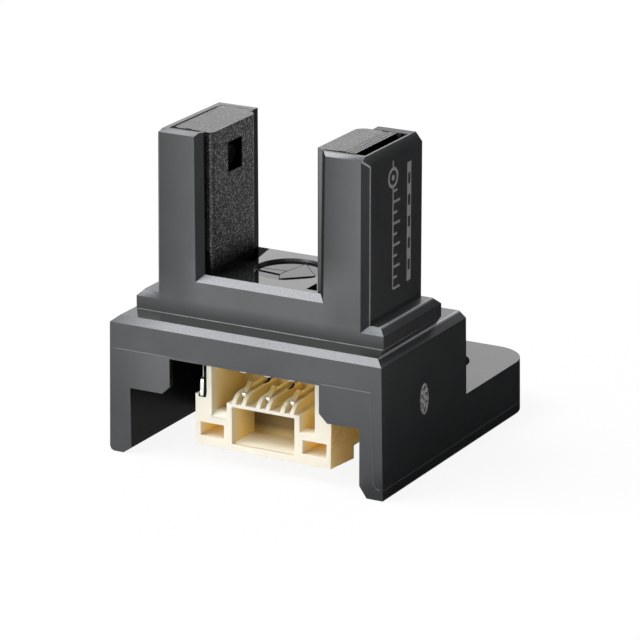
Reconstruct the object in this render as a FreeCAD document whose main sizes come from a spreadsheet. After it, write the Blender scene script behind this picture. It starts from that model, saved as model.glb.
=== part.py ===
# Slot-type photoelectric sensor: a black moulded case with two upright arms, an infrared
# emitter and a receiver facing each other across the slot, a circuit board under the
# case's top, and a white three-way plug connector that hangs below the board.
# Millimetres. +Z is up, the plug enters along +Y, and the origin is the centre of the
# mounting hole at the face that the sensor is screwed down on.

import FreeCAD
import Part
import Sketcher
import os
from types import SimpleNamespace

# Driving dimensions. Each is set by itself, and all places are worked out from them.
SIZES = {
    # across the sensor, from the left side to the right
    "base_ledge_left": 1.27,
    "plinth_ledge_left": 0.89,
    "arm_wall_left": 0.73,
    "slot_width": 5.12,
    "arm_wall_right": 0.62,
    "plinth_ledge_right": 0.81,
    "base_ledge_right": 0.18,
    # upwards, above the connector and the board
    "roof_wall": 0.8,
    "plinth_height": 1.29,
    "floor_rise": 1.06,
    "arm_height": 6.33,
    # base: an upturned channel on two legs
    "base_lean": 0.1,              # how far each side leans in over its height
    "base_bevel_in": 0.35,
    "base_bevel_down": 0.28,
    "leg_width": 1.08,
    "foot_bevel_in": 0.38,
    "foot_bevel_up": 0.48,
    "front_wall": 0.32,
    "back_wall": 1.0,
    # front opening, between two shoulders
    "shoulder_inset": 3.1,
    "shoulder_height": 3.06,
    "shoulder_bevel": 0.4,
    "lintel_drop": 0.73,
    # mounting ear
    "ear_width": 6.8,
    "ear_length": 6.7,
    "ear_thickness": 2.45,
    "ear_corner": 1.7,
    "hole_diameter": 3.2,
    "hole_from_back": 3.25,
    # plinth between the base and the arms
    "plinth_ledge_back": 0.35,
    "plinth_bevel": 0.29,
    "parting_rise": 0.41,
    "parting_tuck": 0.06,
    "parting_tuck_right": 0.26,
    # head: two arms either side of the slot
    "holder_front": 0.42,          # wall of the arm before its holder
    "arm_back_wall": 0.69,
    "back_plate_inset": 0.56,      # how far the right arm's back wall stays off the slot
    "head_bevel": 0.3,
    "top_bevel": 0.16,
    "crown_bevel_in": 0.2,
    "crown_bevel_in_left": 0.32,
    "crown_bevel_down": 0.45,
    "slot_lean_left": 0.01,        # how much each side of the slot opens towards the top
    "slot_lean_right": 0.09,
    "arm_lean_left": 0.22,         # how much the left arm's outer side leans in
    "left_lip": 0.365,              # how far the emitter's holder stands out of its arm
    "right_lip": 0.19,
    "relief_lip": 0.1,
    "relief_depth": 2.2,
    # round recess in the slot's floor
    "recess_diameter": 3.2,
    "recess_depth": 0.26,
    "recess_from_front": 2.75,
    # holders of the optical packages
    "holder_gap": 0.05,
    "holder_sink": 0.65,           # how far a holder reaches below the slot's floor
    "holder_wall": 0.42,
    "emitter_side_wall": 0.33,
    "receiver_side_wall": 0.25,
    "emitter_behind": 0.35,        # how much deeper the emitter's holder is inside its arm
    "holder_roof": 0.45,
    "holder_round_front": 0.2,
    "holder_round_back": 0.4,
    "window_side": 0.08,           # from the lens to the emitter's window
    "window_end": 0.14,
    "slit_width": 0.5,
    # optical packages
    "package_gap": 0.05,
    "package_thickness": 1.13,
    "package_width": 2.9,
    "package_height": 2.5,
    "beam_drop": 0.9,              # from a package's top down to the beam
    "lens_diameter": 1.06,
    "emitter_lens_rise": 0.32,
    "receiver_lens_rise": 0.035,
    "lead_thickness": 0.25,
    "lead_width": 0.4,
    "lead_back": 0.2,              # how far the leads lie behind the package's middle
    "emitter_pitch": 1.27,
    "receiver_pitch": 1.0,
    "lead_embed": 0.85,
    "lead_protrusion": 0.55,
    "paddle_width": 0.8,
    "paddle_height": 0.8,
    "chip_side": 0.36,
    "chip_thickness": 0.12,
    "passage_gap": 0.25,
    # circuit board under the base's roof
    "board_thickness": 0.6,
    "board_gap": 0.08,
    "board_margin": 1.02,
    "lead_hole": 0.62,
    "post_diameter": 0.8,
    "post_gap": 0.05,
    "post_head": 1.3,
    "post_head_height": 0.25,
    "post_from_side": 1.25,
    "post_from_back": 0.95,
    "solder_radius": 0.38,
    "solder_tip_radius": 0.27,
    "solder_height": 0.3,
    # plug connector under the board
    "shell_stand": 0.78,           # how high it hangs over the mounting plane
    "shell_setback": 0.38,
    "plug_offset": 0.12,           # from the slot's middle to the plug's
    "cavity_floor": 0.26,
    "cavity_height": 1.71,
    "cavity_roof": 0.15,
    "cavity_depth": 2.0,
    "cavity_side": 0.355,          # from an outer contact to the cavity's side
    "cavity_wall": 0.25,
    "bay_height": 1.7,
    "bay_depth": 2.95,
    "shell_roof": 0.25,
    "shell_side_wall": 0.24,
    "shell_back_wall": 0.45,
    "shell_step": 0.4,
    "shell_step_from_front": 2.06,
    "horn_rise": 0.2,              # from the bay's floor up to the shell's shoulders
    "latch_inset": 0.24,
    "latch_width": 1.18,
    "latch_rise": 0.16,
    "latch_height": 0.63,
    "latch_depth": 1.5,
    "ledge_floor": 0.32,
    "ledge_width": 0.755,
    "ledge_depth": 0.68,
    "ledge_drop": 0.12,
    "rib_width": 0.2,
    "rib_clearance": 0.04,
    "rib_height": 0.43,
    "rib_foot": 0.05,
    "rib_slope": 0.35,
    # contacts and solder tabs
    "contact_pitch": 1.2,
    "contact_width": 0.2,
    "contact_thickness": 0.14,
    "contact_tip_back": 0.42,      # from the connector's front to the contact's tip
    "contact_rise": 0.16,
    "contact_hook_run": 0.62,
    "contact_hook_rise": 0.38,
    "contact_foot": 0.65,
    "contact_behind": 0.15,
    "slit_clearance": 0.02,
    "slit_height": 0.88,
    "tab_inset": 0.29,
    "tab_thickness": 0.22,
    "tab_cheek": 0.06,
    "tab_neck_thickness": 0.1,
    "tab_neck_side": 0.04,
    "tab_neck_length": 0.22,
    "tab_from_front": 0.3,
    "tab_length": 1.35,
    "tab_round": 0.2,
    "tab_sunk": 0.7,
    "tab_shoulder": 0.65,
    "tab_foot": 0.4,
    "tab_foot_thickness": 0.15,
    # chip parts on the board's underside
    "chip_part_gap": 0.31,
    "chip_part_length": 1.0,
    "chip_part_width": 0.5,
    "chip_part_height": 0.35,
    "chip_cap_length": 0.22,
    "chip_cap_proud": 0.02,
    "chip_row_pitch": 2.1,
}


class Size:
    # A number that carries the expression it came from, so that a model value can be
    # worked out with plain arithmetic and then bound to the sheet.
    def __init__(self, value, text):
        self.value = float(value)
        self.text = text

    @staticmethod
    def of(other):
        return other if isinstance(other, Size) else Size(other, repr(float(other)))

    def __add__(self, other):
        other = Size.of(other)
        return Size(self.value + other.value, f"({self.text} + {other.text})")

    def __sub__(self, other):
        other = Size.of(other)
        return Size(self.value - other.value, f"({self.text} - {other.text})")

    def __mul__(self, other):
        other = Size.of(other)
        return Size(self.value * other.value, f"({self.text} * {other.text})")

    def __truediv__(self, other):
        other = Size.of(other)
        return Size(self.value / other.value, f"({self.text} / {other.text})")

    def __radd__(self, other):
        return Size.of(other) + self

    def __rsub__(self, other):
        return Size.of(other) - self

    def __rmul__(self, other):
        return Size.of(other) * self

    def __neg__(self):
        return Size(0, "0") - self


doc = FreeCAD.newDocument("slot_sensor")
sheet = doc.addObject("Spreadsheet::Sheet", "Sizes")
for row, (alias, value) in enumerate(SIZES.items(), start=1):
    sheet.set(f"A{row}", alias)
    sheet.set(f"B{row}", str(value))
    sheet.setAlias(f"B{row}", alias)
doc.recompute()
d = SimpleNamespace(**{alias: Size(value, "Sizes." + alias) for alias, value in SIZES.items()})

# Places along X, from the case's left side.
holder_inside = d.holder_wall + d.package_gap + d.package_thickness + d.package_gap
emitter_width = holder_inside + d.emitter_side_wall
receiver_width = holder_inside + d.receiver_side_wall
plinth_left = d.base_ledge_left
head_left = plinth_left + d.plinth_ledge_left
slot_left = head_left + d.arm_wall_left + d.holder_gap + emitter_width
slot_right = slot_left + d.slot_width
slot_centre = slot_left + d.slot_width / 2
head_right = slot_right + receiver_width + d.holder_gap + d.arm_wall_right
plinth_right = head_right + d.plinth_ledge_right
base_width = plinth_right + d.base_ledge_right
plate_left = slot_left - d.left_lip                       # face of the left arm's plates
plate_right = slot_right + d.right_lip
package_middle = d.holder_wall + d.package_gap + d.package_thickness / 2
emitter_x = slot_left - package_middle
receiver_x = slot_right + package_middle
emitter_lead_x = emitter_x - d.lead_back
receiver_lead_x = receiver_x + d.lead_back
shell_centre = slot_centre - d.plug_offset
cavity_half = d.contact_pitch + d.cavity_side
bay_half = cavity_half + d.cavity_wall + d.ledge_width
upper_half = bay_half + d.shell_side_wall
shell_half = upper_half + d.tab_inset + d.tab_thickness + d.tab_cheek
contact_places = [shell_centre + d.contact_pitch * step for step in (-1, 0, 1)]

# Places along Y, from the case's front.
face_y = d.base_bevel_in                                  # front of the plinth and the head
holder_y = face_y + d.holder_front
package_y = holder_y + d.holder_wall + d.package_gap
holder_depth = d.package_width + (d.package_gap + d.holder_wall) * 2
beam_y = holder_y + holder_depth / 2
head_depth = d.holder_front + holder_depth + d.holder_gap + d.arm_back_wall
plinth_depth = head_depth + d.plinth_ledge_back
shell_y = d.front_wall + d.shell_setback
bay_back = shell_y + d.bay_depth
shell_back = bay_back + d.shell_back_wall
foot_back = shell_back + d.contact_behind + d.contact_thickness + d.contact_foot
chip_row_y = foot_back + d.chip_part_gap
board_back = chip_row_y + d.chip_part_width + d.board_margin
base_depth = board_back + d.board_gap + d.back_wall
post_y = base_depth - d.back_wall - d.post_from_back
tab_y = shell_y + d.tab_from_front

# Places along Z, from the mounting plane.
cavity_z = d.shell_stand + d.cavity_floor
cavity_top = cavity_z + d.cavity_height
bay_floor = cavity_top + d.cavity_roof
horn_top = bay_floor + d.horn_rise
board_z = bay_floor + d.bay_height + d.shell_roof         # underside of the board
roof_z = board_z + d.board_thickness                      # underside of the base's roof
base_height = roof_z + d.roof_wall
plinth_top = base_height + d.plinth_height
slot_floor = plinth_top + d.floor_rise
head_height = slot_floor + d.arm_height
holder_z = slot_floor - d.holder_sink
package_top = head_height - d.holder_roof - d.package_gap
package_z = package_top - d.package_height
beam_z = package_top - d.beam_drop
latch_z = cavity_z + d.latch_rise
ledge_z = latch_z + d.latch_height + d.ledge_floor

# Places of what comes in numbers: leads along Y, posts along X, and the left tab's plate.
lead_rows = {
    "left": (emitter_lead_x, [beam_y + d.emitter_pitch * step for step in (-0.5, 0.5)]),
    "right": (receiver_lead_x, [beam_y + d.receiver_pitch * step for step in (-1, 0, 1)]),
}
post_places = {
    "left": d.leg_width + d.post_from_side,
    "right": base_width - d.leg_width - d.post_from_side,
}
tab_x = (shell_centre - upper_half - d.tab_inset - d.tab_thickness, shell_centre - upper_half - d.tab_inset)

# The origin of the row lies on the ear hole's axis.
hole_from_side = d.ear_width / 2
datum_x = hole_from_side - base_width
datum_y = d.hole_from_back - base_depth - d.ear_length

nodes = {}                                                # node name to document object

ROLES = {"XY": "XY_Plane", "XZ": "XZ_Plane", "YZ": "YZ_Plane"}


def new_body(name):
    # A body whose own axes start at the case's left, front and bottom.
    body = doc.addObject("PartDesign::Body", name)
    body.Label = name
    body.setExpression("Placement.Base.x", datum_x.text)
    body.setExpression("Placement.Base.y", datum_y.text)
    return body


def new_sketch(body, name, plane, start):
    # A sketch on a plane of the body, start away from it along the positive axis.
    sketch = body.newObject("Sketcher::SketchObject", name)
    origin_plane = [item for item in body.Origin.OriginFeatures if item.Role == ROLES[plane]][0]
    sketch.AttachmentSupport = (origin_plane, [""])
    sketch.MapMode = "FlatFace"
    start = Size.of(start)
    offset = -start if plane == "XZ" else start
    sketch.setExpression("AttachmentOffset.Base.z", offset.text)
    return sketch


def fix_point(sketch, geometry, end, point):
    for kind, place in zip(("DistanceX", "DistanceY"), point):
        place = Size.of(place)
        rule = Sketcher.Constraint(kind, -1, 1, geometry, end, place.value)
        index = sketch.addConstraint(rule)
        sketch.setExpression(f"Constraints[{index}]", place.text)


def draw_outline(sketch, points):
    # A closed outline of straight edges, each corner held from the sketch's origin.
    corners = [FreeCAD.Vector(Size.of(u).value, Size.of(v).value, 0) for u, v in points]
    count = len(corners)
    for index in range(count):
        sketch.addGeometry(Part.LineSegment(corners[index], corners[(index + 1) % count]))
    for index in range(count):
        sketch.addConstraint(Sketcher.Constraint("Coincident", index, 2, (index + 1) % count, 1))
    for index, point in enumerate(points):
        fix_point(sketch, index, 1, point)


def draw_circle(sketch, centre, diameter):
    middle = FreeCAD.Vector(Size.of(centre[0]).value, Size.of(centre[1]).value, 0)
    diameter = Size.of(diameter)
    circle = Part.Circle(middle, FreeCAD.Vector(0, 0, 1), diameter.value / 2)
    geometry = sketch.addGeometry(circle)
    fix_point(sketch, geometry, 3, centre)
    index = sketch.addConstraint(Sketcher.Constraint("Diameter", geometry, diameter.value))
    sketch.setExpression(f"Constraints[{index}]", diameter.text)


def extrude(body, name, sketch, plane, length, cut):
    # Adds or removes the sketch's area over a length along the positive axis.
    feature = body.newObject("PartDesign::Pocket" if cut else "PartDesign::Pad", name)
    feature.Profile = sketch
    feature.Reversed = (plane == "XZ") != cut
    feature.setExpression("Length", Size.of(length).text)
    return feature


def add(body, name, plane, start, length, points):
    sketch = new_sketch(body, name + "_outline", plane, start)
    draw_outline(sketch, points)
    return extrude(body, name, sketch, plane, length, cut=False)


def cut(body, name, plane, start, length, points):
    sketch = new_sketch(body, name + "_outline", plane, start)
    draw_outline(sketch, points)
    return extrude(body, name, sketch, plane, length, cut=True)


def box_outline(x0, x1, y0, y1):
    return [(x0, y0), (x1, y0), (x1, y1), (x0, y1)]


def add_box(body, name, x, y, z):
    # x, y and z are each a pair: where the box starts and where it ends.
    return add(body, name, "XY", z[0], z[1] - z[0], box_outline(x[0], x[1], y[0], y[1]))


def cut_box(body, name, x, y, z):
    return cut(body, name, "XY", z[0], z[1] - z[0], box_outline(x[0], x[1], y[0], y[1]))


def round_extrude(body, name, start, length, centre, diameter, cut_out=False):
    sketch = new_sketch(body, name + "_outline", "XY", start)
    draw_circle(sketch, centre, diameter)
    return extrude(body, name, sketch, "XY", length, cut=cut_out)


def edges_where(shape, test):
    # Names of the straight edges whose two ends both pass the test.
    names = []
    for number, edge in enumerate(shape.Edges, start=1):
        ends = [vertex.Point for vertex in edge.Vertexes]
        if len(ends) == 2 and all(test(point) for point in ends):
            names.append(f"Edge{number}")
    return names


def upright_edges(shape, test):
    names = edges_where(shape, test)
    return [name for name in names if abs(shape.getElement(name).tangentAt(0).z) > 0.9]


def near(first, second):
    return abs(first - Size.of(second).value) < 1e-4


def below(first, second):
    return first < Size.of(second).value + 1e-4


def above(first, second):
    return first > Size.of(second).value - 1e-4


def dress(body, kind, name, base, edges, size):
    # A fillet or a bevel on edges of the body's last feature.
    feature = body.newObject("PartDesign::" + kind, name)
    feature.Base = (base, edges)
    feature.setExpression("Radius" if kind == "Fillet" else "Size", Size.of(size).text)
    return feature


def boolean(kind, name, base, tool):
    feature = doc.addObject("Part::" + kind, name)
    feature.Label = name
    feature.Base = base
    feature.Tool = tool
    return feature


def gather(name, members):
    feature = doc.addObject("Part::MultiFuse", name)
    feature.Label = name
    feature.Shapes = members
    return feature


def keep(name, feature):
    feature.Label = name
    nodes[name] = feature


def make_base():
    # Channel base with its mounting ear and the plinth's step on top.
    body = new_body("case_base")
    top_corner = base_height - d.base_bevel_down
    lean_edge = d.base_lean + d.base_bevel_in
    add(body, "channel", "XZ", 0, base_depth, [
        (0, 0),
        (base_width, 0),
        (base_width - d.base_lean, top_corner),
        (base_width - lean_edge, base_height),
        (lean_edge, base_height),
        (d.base_lean, top_corner),
    ])
    cut(body, "front_bevel", "YZ", 0, base_width, [
        (0, top_corner), (d.base_bevel_in, base_height), (0, base_height)])

    lean_at_ear = d.base_lean * d.ear_thickness / top_corner
    ear_left = base_width - d.ear_width
    ear_back = base_depth + d.ear_length
    ear = add(body, "ear", "XZ", base_depth, d.ear_length, [
        (ear_left, 0),
        (base_width, 0),
        (base_width - lean_at_ear, d.ear_thickness),
        (ear_left, d.ear_thickness),
    ])
    doc.recompute()
    corners = upright_edges(ear.Shape, lambda point: near(point.y, ear_back))
    dress(body, "Fillet", "ear_corners", ear, corners, d.ear_corner)
    hole_centre = (base_width - hole_from_side, ear_back - d.hole_from_back)
    round_extrude(body, "ear_hole", 0, d.ear_thickness, hole_centre, d.hole_diameter, cut_out=True)

    shoulder = plinth_top - d.plinth_bevel
    plinth_back = face_y + plinth_depth
    parting = base_height + d.parting_rise
    add(body, "plinth", "XZ", face_y, plinth_depth, [
        (plinth_left + d.parting_tuck, base_height),
        (plinth_right - d.parting_tuck_right, base_height),
        (plinth_right, parting),
        (plinth_right, shoulder),
        (plinth_right - d.plinth_bevel, plinth_top),
        (plinth_left + d.plinth_bevel, plinth_top),
        (plinth_left, shoulder),
        (plinth_left, parting),
    ])
    cut(body, "plinth_front_tuck", "YZ", 0, base_width, [
        (face_y, base_height), (face_y + d.parting_tuck, base_height), (face_y, parting)])
    cut(body, "plinth_front_bevel", "YZ", 0, base_width, [
        (face_y, shoulder), (face_y + d.plinth_bevel, plinth_top), (face_y, plinth_top)])
    cut(body, "plinth_back_bevel", "YZ", 0, base_width, [
        (plinth_back, shoulder), (plinth_back, plinth_top), (plinth_back - d.plinth_bevel, plinth_top)])
    return body


def make_head():
    # Two arms and the slot's floor, with their edges bevelled.
    body = new_body("case_head")
    crown = head_height - d.crown_bevel_down
    profile = add(body, "arms", "XZ", face_y, head_depth, [
        (head_left, base_height),
        (head_right, base_height),
        (head_right, crown),
        (head_right - d.crown_bevel_in, head_height),
        (plate_right + d.slot_lean_right, head_height),
        (plate_right, slot_floor),
        (plate_left, slot_floor),
        (plate_left - d.slot_lean_left, head_height),
        (head_left + d.arm_lean_left + d.crown_bevel_in_left, head_height),
        (head_left + d.arm_lean_left, crown),
    ])
    doc.recompute()
    shape = profile.Shape
    outer = upright_edges(shape, lambda point: near(point.y, face_y) and below(point.z, crown))

    def on_slot(point):
        right_of_left = above(point.x, plate_left - d.slot_lean_left)
        left_of_right = below(point.x, plate_right + d.slot_lean_right)
        return near(point.y, face_y) and right_of_left and left_of_right and above(point.z, slot_floor)

    slot = [name for name in edges_where(shape, on_slot) if name not in outer]
    bevel = dress(body, "Chamfer", "front_bevels", profile, sorted(set(outer + slot)), d.head_bevel)
    doc.recompute()

    def on_crown(point):
        return near(point.z, head_height) and below(point.y, face_y + d.head_bevel)

    shape = bevel.Shape
    crowns = [name for name in edges_where(shape, on_crown)
              if abs(shape.getElement(name).tangentAt(0).x) > 0.9]
    dress(body, "Chamfer", "crown_front_bevels", bevel, crowns, d.top_bevel)
    recess = ((plate_left + plate_right) / 2, face_y + d.recess_from_front)
    round_extrude(body, "floor_recess", slot_floor - d.recess_depth, d.recess_depth,
                  recess, d.recess_diameter, cut_out=True)
    return body


def make_channel_space():
    # What is open in the base: the channel between the legs and the front opening.
    body = new_body("channel_space")
    inner_right = base_width - d.leg_width
    foot_left = d.leg_width - d.foot_bevel_in
    foot_right = inner_right + d.foot_bevel_in
    add(body, "channel_room", "XZ", d.front_wall, base_depth - d.front_wall - d.back_wall, [
        (foot_left, 0),
        (foot_right, 0),
        (inner_right, d.foot_bevel_up),
        (inner_right, roof_z),
        (d.leg_width, roof_z),
        (d.leg_width, d.foot_bevel_up),
    ])
    shoulder_right = base_width - d.shoulder_inset
    rise = d.shoulder_height + d.shoulder_bevel
    lintel = roof_z - d.lintel_drop
    add(body, "front_opening", "XZ", 0, d.front_wall, [
        (foot_left, 0),
        (foot_right, 0),
        (inner_right, d.foot_bevel_up),
        (inner_right, d.shoulder_height),
        (shoulder_right + d.shoulder_bevel, d.shoulder_height),
        (shoulder_right, rise),
        (shoulder_right, lintel),
        (d.shoulder_inset, lintel),
        (d.shoulder_inset, rise),
        (d.shoulder_inset - d.shoulder_bevel, d.shoulder_height),
        (d.leg_width, d.shoulder_height),
        (d.leg_width, d.foot_bevel_up),
    ])
    return body


def make_pockets():
    # One pocket in each arm, open to the slot and at the top, and the leads' passages.
    body = new_body("arm_pockets")
    pocket_y = (holder_y - d.holder_gap, holder_y + holder_depth + d.holder_gap)
    left_out = slot_left - emitter_width - d.holder_gap
    right_out = slot_right + receiver_width + d.holder_gap
    add_box(body, "left_pocket", (left_out, slot_left), (pocket_y[0], pocket_y[1] + d.emitter_behind),
            (slot_floor, head_height))
    add_box(body, "left_seat", (left_out, plate_left), pocket_y, (holder_z, slot_floor))
    add_box(body, "right_pocket", (slot_right, right_out), pocket_y, (slot_floor, head_height))
    add_box(body, "right_seat", (plate_right, right_out), pocket_y, (holder_z, slot_floor))
    relief_out = head_right - d.crown_bevel_in - d.relief_lip
    relief_z = head_height - d.relief_depth
    add_box(body, "right_relief", (right_out, relief_out), pocket_y, (relief_z, head_height))
    add_box(body, "back_plate_step", (slot_right, slot_right + d.back_plate_inset),
            (pocket_y[1], face_y + head_depth), (slot_floor, head_height))
    half_x = d.lead_thickness / 2 + d.passage_gap
    half_y = d.lead_width / 2 + d.passage_gap
    for side, (centre, places) in lead_rows.items():
        add_box(body, side + "_passage", (centre - half_x, centre + half_x),
                (places[0] - half_y, places[-1] + half_y), (roof_z, holder_z))
    return body


def make_posts():
    # Two staked posts that hold the board up against the roof.
    body = new_body("board_posts")
    head_z = board_z - d.post_head_height
    for side, post_x in post_places.items():
        round_extrude(body, side + "_post", head_z, roof_z - head_z, (post_x, post_y), d.post_diameter)
        round_extrude(body, side + "_post_head", head_z, d.post_head_height, (post_x, post_y), d.post_head)
    return body


def make_case():
    solid = boolean("Fuse", "case_solid", make_base(), make_head())
    hollow = boolean("Fuse", "case_space", make_channel_space(), make_pockets())
    shell = boolean("Cut", "case_shell", solid, hollow)
    keep("case", boolean("Fuse", "case_moulding", shell, make_posts()))


def make_holder(name, face, outward, lip, width, behind, window_size):
    # A textured block that holds one optical package behind a window on the slot.
    # outward is -1 where the block's arm is on the left of the slot, 1 on the right.
    def across(near_face, far_face):
        ends = (face + near_face * outward, face + far_face * outward)
        return ends if outward > 0 else (ends[1], ends[0])

    body = new_body(name)
    block_y = (holder_y, holder_y + holder_depth)
    add_box(body, name + "_seat", across(lip + d.holder_gap, width), block_y, (holder_z, slot_floor))
    whole = across(Size.of(0), width)
    block = add_box(body, name + "_block", whole, block_y, (slot_floor, head_height))
    ends = (("front", block_y[0], d.holder_round_front), ("back", block_y[1], d.holder_round_back))
    for end, end_y, radius in ends:
        doc.recompute()
        corners = upright_edges(block.Shape, lambda point: near(point.x, face) and near(point.y, end_y))
        block = dress(body, "Fillet", f"{name}_{end}_corner", block, corners, radius)
    if behind is not None:
        add_box(body, name + "_behind", across(lip, width), (block_y[1], block_y[1] + behind),
                (slot_floor, head_height))
    cut_box(body, name + "_cavity", across(d.holder_wall, holder_inside),
            (block_y[0] + d.holder_wall, block_y[1] - d.holder_wall), (holder_z, head_height - d.holder_roof))
    wide, high = window_size
    cut_box(body, name + "_window", across(Size.of(0), d.holder_wall), (beam_y - wide / 2, beam_y + wide / 2),
            (beam_z - high / 2, beam_z + high / 2))
    keep(name, body)


def make_leads(prefix, names, row, paddle_lead, facing):
    # Flat leads of one package: one of them carries the paddle under the chip.
    features = []
    centre, places = row
    back = centre - d.lead_thickness / 2
    paddle_z0 = beam_z - d.paddle_height / 2
    paddle_y1 = beam_y + d.paddle_width / 2
    end_z = board_z - d.lead_protrusion
    for step, (name, place) in enumerate(zip(names, places)):
        y0 = place - d.lead_width / 2
        y1 = place + d.lead_width / 2
        node = f"{prefix}_lead_{name}"
        body = new_body(node)
        if step == paddle_lead:
            paddle_y0 = beam_y - d.paddle_width / 2 if len(names) == 3 else y0
            add(body, node + "_strip", "YZ", back, d.lead_thickness, box_outline(y0, y1, end_z, paddle_z0))
            add(body, node + "_paddle", "YZ", back, d.lead_thickness,
                box_outline(paddle_y0, paddle_y1, paddle_z0, paddle_z0 + d.paddle_height))
        else:
            add(body, node + "_strip", "YZ", back, d.lead_thickness,
                box_outline(y0, y1, end_z, package_z + d.lead_embed))
        keep(node, body)
        features.append(body)
    chip = new_body(prefix + "_die")
    half = d.chip_side / 2
    chip_x = centre + d.lead_thickness / 2 if facing > 0 else back - d.chip_thickness
    add_box(chip, prefix + "_die_block", (chip_x, chip_x + d.chip_thickness), (beam_y - half, beam_y + half),
            (beam_z - half, beam_z + half))
    keep(prefix + "_chip", chip)
    return features + [chip]


def make_package(name, centre, facing, lens_rise, members):
    # Resin package with a lens towards the slot, moulded round its leads and its chip.
    body = new_body(name + "_resin")
    x0 = centre - d.package_thickness / 2
    x1 = centre + d.package_thickness / 2
    y_range = (package_y, package_y + d.package_width)
    add_box(body, name + "_block", (x0, x1), y_range, (package_z, package_top))
    start = x1 if facing > 0 else x0 - lens_rise
    sketch = new_sketch(body, name + "_lens_outline", "YZ", start)
    draw_circle(sketch, (beam_y, beam_z), d.lens_diameter)
    lens = extrude(body, name + "_lens", sketch, "YZ", lens_rise, cut=False)
    doc.recompute()
    rim_x = start + lens_rise if facing > 0 else start
    rims = [f"Edge{number}" for number, edge in enumerate(lens.Shape.Edges, start=1)
            if len(edge.Vertexes) == 1 and near(edge.Vertexes[0].X, rim_x)]
    dress(body, "Fillet", name + "_lens_round", lens, rims, lens_rise * 0.9)
    keep(name, boolean("Cut", name, body, gather(name + "_inside", members)))


def make_board():
    body = new_body("circuit_board")
    gap = d.board_gap
    add_box(body, "board_blank", (d.leg_width + gap, base_width - d.leg_width - gap),
            (d.front_wall + gap, board_back), (board_z, roof_z))
    for side, (centre, places) in lead_rows.items():
        for number, place in enumerate(places, start=1):
            round_extrude(body, f"{side}_lead_hole_{number}", board_z, d.board_thickness,
                          (centre, place), d.lead_hole, cut_out=True)
    for side, post_x in post_places.items():
        round_extrude(body, side + "_post_hole", board_z, d.board_thickness, (post_x, post_y),
                      d.post_diameter + d.post_gap * 2, cut_out=True)
    keep("circuit_board", body)


def make_solder():
    # A cone of solder round each lead under the board.
    cones = []
    for centre, places in lead_rows.values():
        for place in places:
            cone = doc.addObject("Part::Cone", "solder_cone")
            cone.setExpression("Radius1", d.solder_tip_radius.text)
            cone.setExpression("Radius2", d.solder_radius.text)
            cone.setExpression("Height", d.solder_height.text)
            cone.setExpression("Placement.Base.x", (datum_x + centre).text)
            cone.setExpression("Placement.Base.y", (datum_y + place).text)
            cone.setExpression("Placement.Base.z", (board_z - d.solder_height).text)
            cones.append(cone)
    leads = [feature for name, feature in nodes.items() if "_lead_" in name]
    lead_group = gather("leads_in_solder", leads)
    keep("lead_solder", boolean("Cut", "lead_solder", gather("solder_cones", cones), lead_group))


def mirrored(x_range):
    # The same range on the other side of the connector's middle.
    return (shell_centre * 2 - x_range[1], shell_centre * 2 - x_range[0])


def make_connector():
    body = new_body("connector_housing")
    front = shell_y
    step_y = front + d.shell_step_from_front
    step_z = d.shell_stand + d.shell_step
    add(body, "shell_lower", "YZ", shell_centre - shell_half, shell_half * 2, [
        (front, d.shell_stand),
        (step_y, d.shell_stand),
        (step_y, step_z),
        (shell_back, step_z),
        (shell_back, horn_top),
        (front, horn_top),
    ])
    add_box(body, "shell_upper", (shell_centre - upper_half, shell_centre + upper_half),
            (front, shell_back), (horn_top, board_z))
    cut_box(body, "contact_bay", (shell_centre - bay_half, shell_centre + bay_half),
            (front, bay_back), (bay_floor, board_z - d.shell_roof))
    cut_box(body, "plug_cavity", (shell_centre - cavity_half, shell_centre + cavity_half),
            (front, front + d.cavity_depth), (cavity_z, cavity_top))
    ledge_x = (shell_centre - bay_half, shell_centre - bay_half + d.ledge_width)
    latch_start = shell_centre - shell_half + d.latch_inset
    latch_x = (latch_start, latch_start + d.latch_width)
    for side, turn in (("left", lambda x_range: x_range), ("right", mirrored)):
        cut_box(body, side + "_ledge", turn(ledge_x), (front, bay_back), (ledge_z, bay_floor))
        cut_box(body, side + "_ledge_drop", turn(ledge_x), (front + d.ledge_depth, bay_back),
                (ledge_z - d.ledge_drop, ledge_z))
        cut_box(body, side + "_latch", turn(latch_x), (front, front + d.latch_depth),
                (latch_z, latch_z + d.latch_height))
        cut_box(body, side + "_tab_slot", turn(tab_x), (tab_y, tab_y + d.tab_length),
                (horn_top - d.tab_sunk, horn_top))
    rib_top = bay_floor + d.rib_height
    rib_in = d.contact_width / 2 + d.rib_clearance
    slit_half = d.contact_width / 2 + d.slit_clearance
    for number, centre in enumerate(contact_places, start=1):
        for side, rib_x in (("left", centre - rib_in - d.rib_width), ("right", centre + rib_in)):
            add(body, f"rib_{number}_{side}", "YZ", rib_x, d.rib_width, [
                (front, bay_floor),
                (bay_back, bay_floor),
                (bay_back, rib_top),
                (front + d.rib_slope * 2, rib_top),
                (front + d.rib_slope, rib_top - d.rib_foot),
                (front + d.rib_slope / 3, (rib_top + bay_floor) / 2),
                (front, bay_floor + d.rib_foot),
            ])
        cut_box(body, f"slit_{number}", (centre - slit_half, centre + slit_half),
                (bay_back, shell_back), (bay_floor, bay_floor + d.slit_height))
    keep("connector_housing", body)


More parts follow.
